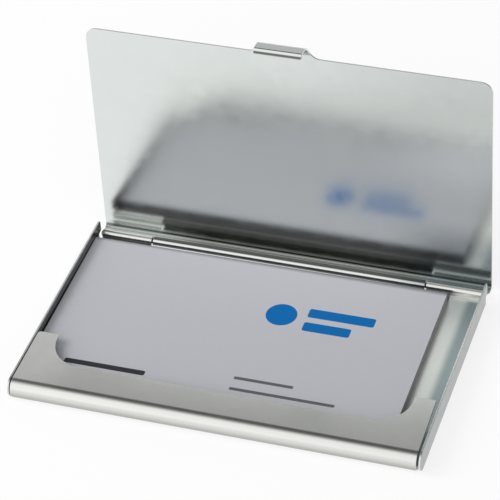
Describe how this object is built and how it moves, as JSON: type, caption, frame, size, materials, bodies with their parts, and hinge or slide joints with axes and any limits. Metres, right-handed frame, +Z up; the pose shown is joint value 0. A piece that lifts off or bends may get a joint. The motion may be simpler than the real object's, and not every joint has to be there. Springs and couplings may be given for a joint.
{
  "type": "business card case",
  "caption": "Flat hinged sheet-metal card case, open, with a rolled front edge, a scalloped lip, a pin hinge, a hooked thumb tab and a stack of loose cards.",
  "frame": {"origin": "centre of the flat underside of the tray, on the surface that the case stands on", "axes": "+X along the hinge pin towards the free end of the tray, +Y from the rolled front edge towards the hinge, +Z up"},
  "size_m": [0.094, 0.0645, 0.0604],
  "materials": {
    "tray_aluminium": "satin anodised, fine bead-blasted grain",
    "plate_aluminium": "satin anodised, fine bead-blasted grain",
    "lid_aluminium": "satin anodised, softly mirror-like",
    "pin_steel": "drawn wire",
    "card_stock": "smooth coated card with a plain geometric print"
  },
  "bodies": {
    "base": {"tray": "tray_aluminium", "left_end_plate": "plate_aluminium", "right_end_plate": "plate_aluminium", "hinge_pin": "pin_steel"},
    "lid": {"lid": "lid_aluminium"},
    "cards": {"card_1": "card_stock", "card_2": "card_stock", "card_3": "card_stock", "card_4": "card_stock", "card_5": "card_stock", "card_6": "card_stock", "card_7": "card_stock", "card_8": "card_stock"}
  },
  "joints": [
    {"name": "lid_hinge", "type": "hinge", "parent": "base", "child": "lid", "pos_m": [0, 0.02855, 0.00127], "axis": [1, 0, 0], "range_deg": [0, 92]},
    {"name": "cards_slide", "type": "slide", "parent": "base", "child": "cards", "axis": [1, 0, 0], "range_m": [0, 0.0076]}
  ]
}
